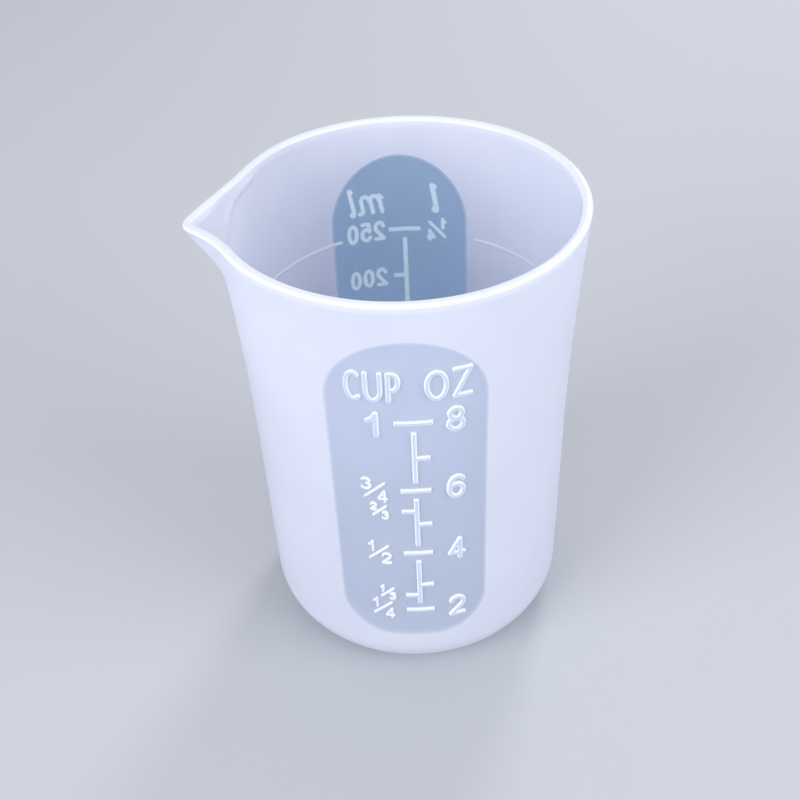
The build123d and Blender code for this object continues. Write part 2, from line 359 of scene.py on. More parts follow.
class Wall:
    """The cup's wall, as radii over the angle about its axis and the height."""

    def __init__(self, scene):
        self.cup = scene.cup_body
        self.lip = scene.cup_lip
        self.window = scene.cup_window
        self.spring = self.window.top - self.window.half_width
        self.tip_height = self.cup.height - self.lip.drop
        self.lip_foot = self.tip_height - self.lip.height
        self.knots = self.lip_foot + LEVEL_HEIGHT_SHARES * self.lip.height
        self.reach = self.cup.waist_radius + self.cup.rim_flare + self.lip.overhang
        self.dip_start = self.reach - self.lip.dip_run
        self.dip_radius = (self.lip.dip_run**2 + self.lip.drop**2) / (2 * self.lip.drop)

    def round_radius(self, z):
        """Outside radius of the round wall: straight to the waist, then a parabola."""
        cup = self.cup
        slope = cup.foot_taper / cup.waist_height
        rise = cup.height - cup.waist_height
        flare = cup.rim_flare - slope * rise
        up = np.maximum(np.asarray(z, float) - cup.waist_height, 0) / rise
        return cup.waist_radius - cup.foot_taper + slope * z + flare * up**2

    def level_radii(self, off, inside):
        """Radii of the lip's levels, one row each, at angles off the lip's axis.

        A level is a circle up to its root angle. From there a cubic Bezier curve, which leaves the
        circle on its tangent, runs in to the nose, and an arc through the tip closes the nose. The
        inside of a level stands in from the outside by the wall, square to the leaning keel.
        """
        lip = self.lip
        inset = self.cup.wall if inside else 0.0
        half = lip.nose_half_width * (lip.nose_inside if inside else 1.0)
        circle = self.round_radius(self.knots)
        overhang = self.reach - self.round_radius(self.tip_height)
        keel = circle + LEVEL_OVERHANG_SHARES * overhang
        run, rise = (np.pad(values, 1, "edge") for values in (keel, self.knots))
        lean = (run[2:] - run[:-2]) / (rise[2:] - rise[:-2])
        lean[0] = 0.0
        reach = keel - inset * np.hypot(1, lean)
        rows = []
        for i, radius in enumerate(circle - inset):
            spread = lip.root_angle * LEVEL_SPREAD_SHARES[i]
            round_angle = math.asin(half / radius)
            nose_angle = round_angle + (lip.nose_angle - round_angle) * LEVEL_SHARPNESS_SHARES[i]
            root = radius * np.array((math.cos(spread), math.sin(spread)))
            nose = np.array((reach[i] - half * math.tan(nose_angle / 2), half))
            handle = lip.handle * np.linalg.norm(nose - root)
            near_root = root + handle * np.array((math.sin(spread), -math.cos(spread)))
            near_nose = nose + handle * np.array((-math.sin(nose_angle), math.cos(nose_angle)))
            t = np.linspace(0, 1, SIDE_STEPS)[:, None]
            side = (1 - t) ** 3 * nose + 3 * (1 - t) ** 2 * t * near_nose
            side = side + 3 * (1 - t) * t**2 * near_root + t**3 * root
            turn = np.linspace(0, nose_angle, NOSE_STEPS)[:-1]
            nose_radius = half / math.sin(nose_angle)
            round_nose = np.stack([reach[i] - nose_radius * (1 - np.cos(turn)), nose_radius * np.sin(turn)], -1)
            outline = np.concatenate([round_nose, side])
            angles = np.arctan2(outline[:, 1], outline[:, 0])
            rows.append(np.interp(off, angles, np.hypot(outline[:, 0], outline[:, 1]), right=radius))
        return np.array(rows)

    def radius(self, turn, z, inside):
        """Radius of the outside or the inside: round below the lip, and above its foot a cubic
        spline up through the lip's levels, which starts at the round wall's own slope."""
        off = np.abs(np.mod(turn, 2 * math.pi) - math.pi)
        z = np.broadcast_to(z, off.shape)
        inset = self.cup.wall if inside else 0.0
        step = 0.01 * MM
        slope = (self.round_radius(self.lip_foot + step) - self.round_radius(self.lip_foot - step)) / (2 * step)
        lofted = spline(self.knots, self.level_radii(off, inside), slope, z)
        if inside:
            lofted = lofted - self.crease(off, z)
        return np.where(z > self.lip_foot, lofted, self.round_radius(z) - inset)

    def crease(self, off, z):
        """Rise of the crease inside the lip: a bell curve over the height, about a line that falls
        from the rim to the lip's axis, and that fades out where the lip ends."""
        middle = np.interp(np.degrees(off), CREASE_TURNS, CREASE_HEIGHTS) * MM
        left = np.clip((self.lip.panel_angle - off) / (CREASE_FADE * self.lip.panel_angle), 0, 1)
        return self.lip.crease * left * np.exp(-(((z - middle) / self.lip.crease_width) ** 2))

    def points(self, turn, z, inside):
        """Points of the wall at these angles and heights."""
        return turned(self.radius(turn, z, inside), turn, z)

    def rim_height(self, x):
        """Height of the rim: level, then an arc that falls to the tip of the lip."""
        run = np.maximum(-x - self.dip_start, 0)
        return self.cup.height - self.dip_radius + np.sqrt(self.dip_radius**2 - run**2)

    def under_rim(self, turn, drop, share_in):
        """Points this far under the rim, and this share of the way from the outside to the inside."""
        height = np.full(np.broadcast(turn, drop, share_in).shape, self.tip_height)
        for _ in range(RIM_ROUNDS):
            radius = (1 - share_in) * self.radius(turn + 0 * height, height, False)
            radius = radius + share_in * self.radius(turn + 0 * height, height, True)
            height = self.rim_height(radius * np.cos(turn)) - drop
        return turned(radius, turn, height)

    def window_reach(self, z):
        """Half width of a window at a height: half round above, straight, and rounded below."""
        window = self.window
        over = np.clip(z - self.spring, 0, window.half_width)
        under = np.clip(window.bottom + window.corner - z, 0, window.corner)
        arch = np.sqrt(window.half_width**2 - over**2)
        return arch - window.corner + np.sqrt(window.corner**2 - under**2)

    def heights(self):
        """Heights of the rows of wall beside the windows, closer where the windows' edges are round."""
        window = self.window
        bend = np.linspace(0, math.pi / 2, CURVED_ROWS + 1)
        foot = window.bottom + window.corner * (1 - np.cos(bend))
        straight = np.linspace(foot[-1], self.lip_foot, STRAIGHT_ROWS + 1)
        return np.concatenate([foot[:-1], straight, self.spring + window.half_width * np.sin(bend)])

    def arc_ends(self, name, z, inside):
        """Angles at which an arc of the wall starts and ends. The windows are cut straight through
        the wall, so their edges have the same x outside and inside."""
        radius = self.round_radius(z) - (self.cup.wall if inside else 0.0)
        reach = self.window_reach(z)
        right = np.arccos((self.window.shift + reach) / radius)
        left = np.arccos((self.window.shift - reach) / radius)
        lip = [math.pi + self.lip.panel_angle * side + 0 * right for side in (-1, 1)]
        ends = [-right, right, left, *lip, 2 * math.pi - left, 2 * math.pi - right]
        place = list(ARC_COLUMNS).index(name)
        return ends[place : place + 2]

    def arc_turns(self, name, z, inside):
        """Angles of an arc's columns, one row for each height. They lie closer at the nose of the lip
        and at the edges of the windows."""
        way = np.linspace(-1, 1, ARC_COLUMNS[name] + 1)
        if name == "lip":
            way = (1 - NOSE_CROWDING) * way + NOSE_CROWDING * way**3
        if name.endswith("window"):
            way = np.sin(way * math.pi / 2)
        start, end = self.arc_ends(name, np.asarray(z, float), inside)
        return start[:, None] + (end - start)[:, None] * (way + 1) / 2

    def patch(self, name, z):
        """Outside and inside points of one arc, with a row at each height."""
        return [self.points(self.arc_turns(name, z, inside), z[:, None], inside) for inside in (False, True)]

    def top_band(self, name):
        """Outside and inside points of one arc from the windows' top up to the polished rim."""
        z = np.array([self.window.top])
        way = np.linspace(0, 1, BAND_ROWS + 1)[:, None]
        sides = []
        for inside in (False, True):
            turn = self.arc_turns(name, z, inside)
            crown = self.under_rim(turn, self.cup.rim_band, float(inside))[..., 2]
            sides.append(self.points(turn + 0 * way, z + (crown - z) * way, inside))
        return sides

    def ring_turns(self):
        """Angles of every column round the rim."""
        z = np.array([self.window.top])
        arcs = [self.arc_turns(name, z, False)[0, :-1] for name in ("right", "rear", "lip", "front")]
        return np.concatenate(arcs)


def spline(knots, rows, first_slope, at):
    """Cubic splines up through rows of values, read at heights: each starts with first_slope and
    ends without bend. The second slopes at the knots come from one set of linear equations."""
    gap = np.diff(knots)
    last = len(knots) - 1
    matrix = np.zeros((last + 1, last + 1))
    steps = np.diff(rows, axis=0) / gap.reshape(-1, *[1] * (rows.ndim - 1))
    right = np.zeros_like(rows)
    matrix[0, :2] = 2 * gap[0], gap[0]
    right[0] = 6 * (steps[0] - first_slope)
    for i in range(1, last):
        matrix[i, i - 1 : i + 2] = gap[i - 1], 2 * (gap[i - 1] + gap[i]), gap[i]
        right[i] = 6 * (steps[i] - steps[i - 1])
    matrix[last, last] = 1
    bend = np.linalg.solve(matrix, right.reshape(last + 1, -1)).reshape(rows.shape)
    low = np.clip(np.searchsorted(knots, at) - 1, 0, last - 1)
    span = gap[low]
    a = (knots[low + 1] - at) / span
    b = 1 - a

    def pick(values, index):
        return np.take_along_axis(values, index[None], 0)[0]

    curved = (a**3 - a) * pick(bend, low) + (b**3 - b) * pick(bend, low + 1)
    return a * pick(rows, low) + b * pick(rows, low + 1) + curved * span**2 / 6


def grid_quads(rows, columns, around=False, over=False):
    """Quads of a grid whose points are numbered row by row. Around joins its last column to the
    first, and over joins its last row to the first."""
    index = np.arange(rows * columns).reshape(rows, columns)
    if around:
        index = np.concatenate([index, index[:, :1]], 1)
    if over:
        index = np.concatenate([index, index[:1]])
    return np.stack([index[:-1, :-1], index[:-1, 1:], index[1:, 1:], index[1:, :-1]], -1).reshape(-1, 4)


def merged(points, quads):
    """Points that touch become one. Returns the numbers of the points kept, and the quads and
    triangles that are left."""
    keys = np.round(points / TOUCH).astype(np.int64)
    _, kept, number = np.unique(keys, axis=0, return_index=True, return_inverse=True)
    quads = number.reshape(-1)[quads]
    same = quads == np.roll(quads, -1, axis=1)
    triangles = quads[same.sum(1) == 1]
    triangles = triangles[~same[same.sum(1) == 1]].reshape(-1, 3)
    return kept, quads[same.sum(1) == 0], triangles


def stacked(parts):
    """Joins parts of points, quads and whatever else they hold, with the quads numbered on."""
    points, quads, *others = zip(*parts)
    first = np.cumsum([0, *map(len, points)])
    quads = [some + start for some, start in zip(quads, first)]
    return [np.concatenate(values) for values in (points, quads, *others)]


def open_strip(count, *faces):
    """Quads that join each open edge of these faces to the same edge on the points that are
    numbered on by count. An edge is open if no face has it the other way round."""
    edges = np.concatenate([np.stack([f, np.roll(f, -1, axis=1)], -1).reshape(-1, 2) for f in faces])
    a, b = edges[~np.isin(edges[:, 0] * count + edges[:, 1], edges[:, 1] * count + edges[:, 0])].T
    return np.stack([b, a, a + count, b + count], -1)


def add_shell(name, patches, finish, node):
    """Adds a closed stretch of wall from patches of outside and inside points: the same quads on
    both sides, and a strip of quads round every cut edge, where the rubber is joined."""
    parts = [(out.reshape(-1, 3), grid_quads(*out.shape[:2]), within.reshape(-1, 3)) for out, within in patches]
    outside, quads, inside = stacked(parts)
    kept, quads, triangles = merged(outside, quads)
    outside, inside = outside[kept], inside[kept]
    count = len(kept)
    strip = open_strip(count, quads, triangles)
    faces = [*quads.tolist(), *triangles.tolist()]
    faces += [*(quads[:, ::-1] + count).tolist(), *(triangles[:, ::-1] + count).tolist()]
    kinds = [0] * len(faces) + [1] * len(strip)
    points, faces = np.concatenate([outside, inside]), faces + strip.tolist()
    return add_piece(name, points, faces, [finish, joined_silicone()], [node], kinds)


def sheet_mesh(points, quads):
    """A mesh from points and quads, with doubles merged."""
    kept, quads, triangles = merged(points, quads)
    return points[kept], [*quads.tolist(), *triangles.tolist()]


def linked(name, data):
    """A new object with this data, in the scene."""
    made = bpy.data.objects.new(name, data)
    bpy.context.scene.collection.objects.link(made)
    return made


def add_piece(name, points, faces, materials, nodes=(), kinds=None, sharp=35):
    """Makes a smooth piece that rides on the cup and stands for these nodes of the frame. Kinds
    gives each face the number of its material, and edges that turn by more than sharp degrees
    stay crisp."""
    mesh = bpy.data.meshes.new(name)
    mesh.from_pydata(points.tolist(), [], faces)
    for material in materials:
        mesh.materials.append(material)
    if kinds is not None:
        mesh.polygons.foreach_set("material_index", np.asarray(kinds, np.int32))
    mesh.polygons.foreach_set("use_smooth", np.ones(len(faces), bool))
    mesh.set_sharp_from_angle(angle=math.radians(sharp))
    if mesh.validate():
        raise RuntimeError(f"{name} has faulty faces")
    piece = linked(name, mesh)
    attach(piece, BODY)
    if nodes:
        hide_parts(*nodes)
    return piece


def add_node(tree, kind, inputs=None, output=0, **settings):
    """Adds a node and returns its output, if it has any. Its inputs take a value or another node's
    output, and settings are its own."""
    node = tree.nodes.new(kind)
    for name, value in settings.items():
        setattr(node, name, value)
    for name, value in (inputs or {}).items():
        if isinstance(value, bpy.types.NodeSocket):
            tree.links.new(value, node.inputs[name])
        else:
            node.inputs[name].default_value = value
    return node.outputs[output] if node.outputs else None


def new_material(name, build):
    """A node material, made once. Build adds its nodes to the tree, and returns the socket that
    gives the surface."""
    material = bpy.data.materials.get(name)
    if not material:
        material = bpy.data.materials.new(name)
        material.use_nodes = True
        material.node_tree.nodes.clear()
        add_node(material.node_tree, "ShaderNodeOutputMaterial", {"Surface": build(material.node_tree)})
    return material


def grain(tree, size, detail=2.0):
    """Noise in the piece's own space, whose blotches are about this size in metres."""
    place = add_node(tree, "ShaderNodeTexCoord", output="Object")
    return add_node(tree, "ShaderNodeTexNoise", {"Vector": place, "Scale": 1 / size, "Detail": detail}, "Fac")


def clouded(tree, pale, deep, size):
    """A colour that drifts between two tints in soft clouds of this size."""
    return add_node(tree, "ShaderNodeMix", {0: grain(tree, size), 6: pale, 7: deep}, 2, data_type="RGBA")


def bumped(tree, size, strength):
    """A normal that ripples over waves of this size."""
    waves = {"Height": grain(tree, size), "Strength": strength, "Distance": RIPPLE_HEIGHT}
    return add_node(tree, "ShaderNodeBump", waves)


def rubber(tree, tint, normal, through, roughness, bloom=0.0, glow=0.0):
    """Silicone rubber: its skin turns part of the light back, and the rest goes through, scattered.
    Bloom is the paleness of a dull skin that is seen aslant, and glow is a painted glow: the tint is given off as
    emission, though the rubber is no lamp."""
    skin = {"Base Color": tint, "Roughness": roughness, "IOR": SILICONE_IOR, "Normal": normal}
    skin.update({"Sheen Weight": bloom, "Emission Color": tint, "Emission Strength": glow})
    skin = add_node(tree, "ShaderNodeBsdfPrincipled", skin)
    body = add_node(tree, "ShaderNodeBsdfTranslucent", {"Color": tint, "Normal": normal})
    return add_node(tree, "ShaderNodeMixShader", {0: through, 1: skin, 2: body})


def frosted_rubber(tree, colours):
    """The frosted finish: milky, with a satin skin and a fine grain. The grain is drawn at 0.5 mm,
    coarser than a blasted tool leaves it, so that it shows."""
    tint = clouded(tree, colours.frosted, colours.shaded, size=18 * MM)
    patches = {"Value": grain(tree, 9 * MM, detail=3.0), "To Min": 0.40, "To Max": 0.52}
    roughness = add_node(tree, "ShaderNodeMapRange", patches)
    normal = bumped(tree, size=0.5 * MM, strength=0.08)
    return rubber(tree, tint, normal, through=0.42, roughness=roughness, bloom=0.25)


def frosted_silicone(colours):
    """Platinum-cured silicone rubber, moulded against a blasted tool: a milky body that lets soft
    light through, with faint clouds that follow the flow of the rubber, and a satin skin."""
    return new_material("frosted_silicone_rubber", lambda tree: frosted_rubber(tree, colours))


def moulded(name, tints, cloud, wave, **finish):
    """A finish of the rubber, from its two tints, the size of their clouds, the size of the skin's
    ripple, and how the rubber treats the light."""

    def build(tree):
        return rubber(tree, clouded(tree, *tints, cloud), bumped(tree, wave, strength=0.1), **finish)

    return new_material(name, build)


def plain(name, kind, inputs=None):
    """A material of one shader alone."""
    return new_material(name, lambda tree: add_node(tree, kind, inputs))


def polished_silicone(colours):
    """The same rubber where the tool was polished: the rim is as milky as the wall, and glossy."""
    tints = (colours.frosted, colours.shaded)
    return moulded("polished_silicone_rubber", tints, 14 * MM, 2.5 * MM, through=0.30, roughness=0.08)


def clear_silicone(colours):
    """The same rubber pressed between polished faces of the tool: bluish, glossy, and so clear that
    what lies behind shows through its milk. The frosting fades in towards the windows' edges."""

    def build(tree):
        tint = clouded(tree, colours.clear, colours.clear_deep, size=16 * MM)
        milk = rubber(tree, tint, bumped(tree, size=4 * MM, strength=0.15), through=0.30, roughness=0.22)
        see = add_node(tree, "ShaderNodeBsdfTransparent", {"Color": colours.through})
        clear = add_node(tree, "ShaderNodeMixShader", {0: SEE_THROUGH, 1: milk, 2: see})
        fade = add_node(tree, "ShaderNodeAttribute", output="Fac", attribute_name="clearness")
        frosted = frosted_rubber(tree, colours)
        return add_node(tree, "ShaderNodeMixShader", {0: fade, 1: frosted, 2: clear})

    return new_material("clear_silicone_rubber", build)


def raised_silicone(colours):
    """The level faces of the raised marks: as bluish as the window, and a little milkier for being
    thicker, so that the marks read as bright outlines."""
    tints = (colours.marks, colours.clear_deep)
    return moulded("raised_silicone_rubber", tints, 5 * MM, 3 * MM, through=0.30, roughness=0.20)


def mark_backs_painted_glow(colours):
    """The backs of the raised marks, which show through a clear window from inside the cup. They carry a painted
    glow: a warm near-white tint given off as emission, so that the marks show up."""
    skin = {"Base Color": colours.backs, "Roughness": 0.3, "IOR": SILICONE_IOR}
    skin.update({"Emission Color": colours.backs, "Emission Strength": 0.6})
    return plain("silicone_backs_painted_glow", "ShaderNodeBsdfPrincipled", skin)


def painted_highlight_silicone(colours):
    """The rounded edges of the raised marks, the level rings and the top of the rim, with a painted highlight: a
    near-white tint that also glows a little, as emission, so that they read as bright lines. They are glossy."""
    tints = (colours.edges, colours.frosted)
    return moulded("rounded_edges_painted_highlight", tints, 2 * MM, 1 * MM, through=0.15, roughness=0.12, glow=0.03)


def joined_silicone():
    """Inside the rubber, where one stretch of the moulding runs on into the next: nothing shows."""
    return plain("joined_silicone", "ShaderNodeBsdfTransparent")


def studio_floor(colours):
    """A matt painted floor."""
    return plain("matt_painted_floor", "ShaderNodeBsdfPrincipled", {"Base Color": colours.floor, "Roughness": 0.8})


class CUP_OT_add_foot(Operator):
    """Adds the floor and the rounded corner that the cup stands on"""

    bl_idname = "cup.add_foot"
    bl_label = "Foot"

    def execute(self, context):
        scene = context.scene
        wall, cup = Wall(scene), scene.cup_body
        turn = np.linspace(0, 2 * math.pi, FOOT_COLUMNS, endpoint=False)
        floor_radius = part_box("cup_floor")[1].x
        top = cup.floor + cup.foot_corner
        outer = foot_profile(wall, 0.0, 0.0, cup.foot_corner, floor_radius, top)
        inner = foot_profile(wall, cup.wall, cup.floor, cup.foot_corner - cup.wall, floor_radius, top)
        profile = np.concatenate([outer, inner[::-1]])
        across = np.linspace(0, floor_radius, FLOOR_RINGS)
        height = np.repeat([0.0, cup.floor], FLOOR_RINGS)
        disc = np.stack([np.concatenate([across, across[::-1]]), height], -1)
        materials = [frosted_silicone(scene.cup_colours), joined_silicone()]
        for name, node, outline, over in (
            ("rounded_foot", "foot_corner", profile, True),
            ("floor_disc", "cup_floor", disc, False),
        ):
            quads = grid_quads(len(outline), FOOT_COLUMNS, around=True, over=over)
            points, faces = sheet_mesh(revolved(outline, turn), quads[:, ::-1])
            add_piece(name, points, faces, materials, [node])
        return {"FINISHED"}


def foot_profile(wall, inset, bottom, corner, floor_radius, top):
    """Radius and height along the foot from the floor's edge out, round the corner and up: the
    corner is an arc that touches both the floor and the slanting wall."""
    slope = wall.cup.foot_taper / wall.cup.waist_height
    middle_z = bottom + corner
    middle_r = wall.round_radius(middle_z) - inset - corner * math.hypot(1, slope)
    bend = np.linspace(-math.pi / 2, -math.atan(slope), 6 * ROUND_STEPS + 1)
    rounded = np.stack([middle_r + corner * np.cos(bend), middle_z + corner * np.sin(bend)], -1)
    up = np.linspace(rounded[-1, 1], top, SHORT_ROWS + 1)[1:]
    side = np.stack([wall.round_radius(up) - inset, up], -1)
    return np.concatenate([[[floor_radius, bottom]], rounded, side])


def revolved(profile, turn):
    """Points of a profile of radius and height turned about the cup's axis, row by row."""
    radius, height = profile.T[..., None]
    return turned(radius, turn, height).reshape(-1, 3)


class CUP_OT_add_wall(Operator):
    """Adds the frosted wall, open at the windows and the lip"""

    bl_idname = "cup.add_wall"
    bl_label = "Frosted Wall"

    def execute(self, context):
        scene = context.scene
        wall = Wall(scene)
        heights = wall.heights()
        below = np.linspace(wall.cup.floor + wall.cup.foot_corner, wall.window.bottom, SHORT_ROWS)
        under_lip = heights[heights <= wall.lip_foot + TOUCH]
        patches = [wall.patch(name, below) for name in ARC_COLUMNS]
        patches += [wall.patch(name, heights) for name in ("right", "rear", "front")]
        patches += [wall.patch("lip", under_lip)]
        patches += [wall.top_band(name) for name in ("right", "rear", "front")]
        finish = frosted_silicone(scene.cup_colours)
        add_shell("frosted_wall", patches, finish, "side_wall")
        return {"FINISHED"}


def set_clearness(piece, wall, outside_clear, inside_clear):
    """Writes how clear the rubber is at each point: not at all at a window's edge, and further in
    by these shares on the outside face and on the inside face."""
    points = np.empty(len(piece.data.vertices) * 3)
    piece.data.vertices.foreach_get("co", points)
    x, y, z = points.reshape(-1, 3).T
    window = wall.window
    off = np.abs(x - window.shift)
    beside = np.maximum(off - window.half_width + window.corner, 0)
    below = np.maximum(window.bottom + window.corner - z, 0)
    edge = np.minimum(window.half_width - off, window.corner - np.hypot(beside, below))
    edge = np.minimum(edge, z - window.bottom)
    edge = np.where(z > wall.spring, window.half_width - np.hypot(off, z - wall.spring), edge)
    low = np.clip(1 - (z - window.bottom) / window.corner, 0, 1)
    way = np.clip(edge / (window.soft_edge + (window.soft_foot - window.soft_edge) * low), 0, 1)
    clear = piece.data.attributes.new("clearness", "FLOAT", "POINT")
    outside = np.hypot(x, y) > wall.round_radius(z) - wall.cup.wall / 2
    most = np.where(outside, outside_clear, inside_clear)
    clear.data.foreach_set("value", most * (1 - (1 - way) ** 3))


class CUP_OT_add_windows(Operator):
    """Adds the clear windows in the front and the rear of the wall"""

    bl_idname = "cup.add_windows"
    bl_label = "Clear Windows"

    def execute(self, context):
        scene = context.scene
        wall, window = Wall(scene), scene.cup_window
        finish = clear_silicone(scene.cup_colours)
        front = ("front", window.front_outside, window.front_inside)
        rear = ("rear", window.rear_outside, window.rear_inside)
        for side, outside_clear, inside_clear in (front, rear):
            node = side + "_window"
            patches = [wall.patch(node, wall.heights())]
            piece = add_shell(side + "_clear_window", patches, finish, node)
            set_clearness(piece, wall, outside_clear, inside_clear)
        return {"FINISHED"}


class CUP_OT_add_lip(Operator):
    """Adds the stretch of wall that is drawn out into the pouring lip"""

    bl_idname = "cup.add_lip"
    bl_label = "Pouring Lip"

    def execute(self, context):
        scene = context.scene
        wall = Wall(scene)
        heights = wall.heights()
        over_foot = heights[heights >= wall.lip_foot - TOUCH]
        patches = [wall.patch("lip", over_foot), wall.top_band("lip")]
        finish = frosted_silicone(scene.cup_colours)
        add_shell("pinched_lip", patches, finish, "pouring_lip")
        return {"FINISHED"}


class CUP_OT_add_rim(Operator):
    """Adds the polished rim, rounded on both edges, which dips to the tip of the lip"""

    bl_idname = "cup.add_rim"
    bl_label = "Polished Rim"

    def execute(self, context):
        scene = context.scene
        wall, cup = Wall(scene), scene.cup_body
        bend = np.linspace(0, math.pi / 2, ROUND_STEPS + 1)
        corner = cup.rim_round / cup.wall
        side = np.linspace(cup.rim_band, cup.rim_round, SHORT_ROWS + 1)[:-1]
        share_in = np.concatenate([0 * side, corner * (1 - np.cos(bend))])
        drop = np.concatenate([side, cup.rim_round * (1 - np.sin(bend))])
        share_in = np.concatenate([share_in, 1 - share_in[::-1]])
        drop = np.concatenate([drop, drop[::-1]])
        turn = wall.ring_turns()
        points = wall.under_rim(turn[None], drop[:, None], share_in[:, None])
        quads = grid_quads(len(drop), len(turn), around=True, over=True).tolist()
        materials = [polished_silicone(scene.cup_colours), joined_silicone(), painted_highlight_silicone(scene.cup_colours)]
        # The rounded top of the rim takes the near-white edge finish: a painted highlight along it
        bands = np.where(np.maximum(drop[:-1], drop[1:]) > cup.rim_round + TOUCH, 0, 2)
        kinds = np.repeat([*bands, 1], len(turn))
        add_piece("polished_rim", points.reshape(-1, 3), quads, materials, ["rim_edge"], kinds)
        return {"FINISHED"}


def scale_height(marks, share_up):
    """Height of a mark that stands this share of the way up the front scale."""
    return marks.scale_bottom + share_up * (marks.scale_top - marks.scale_bottom)


def on_wall(wall, along, height, depth, side):
    """Points laid round the outside wall: along it to the viewer's right from the cup's middle, up,
    and out of its surface. The front is side -1 and the rear is side 1."""
    radius = wall.radius(np.full(np.shape(height), side * math.pi / 2), height, False)
    return turned(radius + depth, side * math.pi / 2 + along / radius, height)


def inside_strokes(strokes, line):
    """A function that tells how far a point of the wall lies inside strokes of this width, which
    follow these centre lines and have round ends."""

    def inside(x, z):
        best = np.full(x.shape, -np.inf)
        for stroke in strokes:
            for (ax, az), (bx, bz) in zip(stroke, stroke[1:]):
                run, rise = bx - ax, bz - az
                way = np.clip(((x - ax) * run + (z - az) * rise) / (run**2 + rise**2), 0, 1)
                best = np.maximum(best, line / 2 - np.hypot(x - ax - way * run, z - az - way * rise))
        return best

    points = np.concatenate(strokes)
    return inside, (*(points.min(0) - line / 2), *(points.max(0) + line / 2))


def inside_boxes(boxes):
    """The same for upright boxes, each given as left, bottom, right and top."""

    def inside(x, z):
        best = np.full(x.shape, -np.inf)
        for left, bottom, right, top in boxes:
            across = np.minimum(x - left, right - x)
            best = np.maximum(best, np.minimum(across, np.minimum(z - bottom, top - z)))
        return best

    boxes = np.array(boxes)
    return inside, (*boxes[:, :2].min(0), *boxes[:, 2:].max(0))


def raised_shape(wall, marks, shape, side):
    """A raised shape on the outside wall. Its height is a function of the two directions along the
    wall: a quarter round over the edge's width in from the outline, then level. Points next to the
    outline move on to it. Returns points, quads and the kind of each: 0 level, 1 edge, 2 back."""
    inside, (left, bottom, right, top) = shape
    step = marks.mesh_step
    across = np.arange(left - step, right + 2 * step, step)
    upward = np.arange(bottom - step, top + 2 * step, step)
    x, z = np.meshgrid(across, upward)
    depth_in = inside(x, z)
    slope_z, slope_x = np.gradient(depth_in, step)
    near = np.abs(depth_in) < OUTLINE_REACH * step
    move = np.where(near, depth_in / np.maximum(slope_x**2 + slope_z**2, LEAST_SLOPE), 0)
    x, z = x - move * slope_x, z - move * slope_z
    depth_in = np.where(near, 0, depth_in)
    quads = grid_quads(*x.shape)
    quads = quads[(depth_in.reshape(-1)[quads] >= 0).all(1)]
    way = np.clip(depth_in / marks.edge, 0, 1)
    rise = marks.relief * np.sqrt(1 - (1 - way) ** 2)
    kinds = (way.reshape(-1)[quads].mean(1) < LEVEL_SHARE).astype(int)
    used, quads = np.unique(quads, return_inverse=True)
    quads = quads.reshape(-1, 4)
    x, z, rise = (values.reshape(-1)[used] for values in (x, z, rise))
    face = on_wall(wall, x, z, rise, side)
    back = on_wall(wall, x, z, 0 * rise - marks.seat, side)
    strip = open_strip(len(used), quads)
    kinds = np.concatenate([kinds, 0 * kinds + 2, np.ones(len(strip), int)])
    quads = np.concatenate([quads, quads[:, ::-1] + len(used), strip])
    return np.concatenate([face, back]), quads, kinds


def add_marks(scene, name, shapes, side, nodes=()):
    """One piece that holds several raised shapes."""
    wall, marks, colours = Wall(scene), scene.cup_marks, scene.cup_colours
    points, quads, kinds = stacked([raised_shape(wall, marks, shape, side) for shape in shapes])
    # Level faces, then the edges with their painted highlight, then the backs with their painted glow
    materials = [raised_silicone(colours), painted_highlight_silicone(colours), mark_backs_painted_glow(colours)]
    add_piece(name, points, quads.tolist(), materials, nodes, kinds, sharp=70)


class CUP_OT_add_scale_lines(Operator):
    """Adds the raised bars, ticks and upright lines of both scales"""

    bl_idname = "cup.add_scale_lines"
    bl_label = "Scale Lines"

    def execute(self, context):
        scene = context.scene
        marks = scene.cup_marks
        half = marks.width / 2

        def level(x, left, right, height):
            return (x - left, height - half, x + right, height + half)

        def upright(x, bottom, top):
            return (x - half, bottom, x + half, top)

        x, reach = marks.line_x, marks.bar_reach
        heights = [scale_height(marks, value) for value in BAR_SHARES]
        bars = [level(x, reach, reach, height) for height in heights[:-1]]
        bars.append(level(x, marks.top_bar_reach, marks.top_bar_reach, heights[-1]))
        add_marks(scene, "front_bars", [inside_boxes([bar]) for bar in bars], -1, ["front_scale_bars"])
        ticks = [level(x, reach, 0, scale_height(marks, value)) for value in CUP_TICK_SHARES]
        ticks += [level(x, 0, reach, scale_height(marks, value)) for value in OUNCE_TICK_SHARES]
        lines = []
        for low, high in zip(heights, heights[1:]):
            beside = [tick for tick in ticks if low < tick[1] < high]
            lines.append(inside_boxes([upright(x, low + marks.gap, high - marks.gap), *beside]))
        add_marks(scene, "front_line", lines, -1, ["front_scale_line"])
        bar = level(-x, marks.top_bar_reach, marks.top_bar_reach, marks.scale_top)
        add_marks(scene, "rear_bar", [inside_boxes([bar])], 1, ["rear_scale_bar"])
        ticks = [level(-x, 0, reach, scale_height(marks, value)) for value in MILLILITRE_TICK_SHARES]
        line = upright(-x, ticks[0][1], marks.scale_top - marks.gap)
        add_marks(scene, "rear_line", [inside_boxes([line, *ticks])], 1, ["rear_scale_line"])
        return {"FINISHED"}


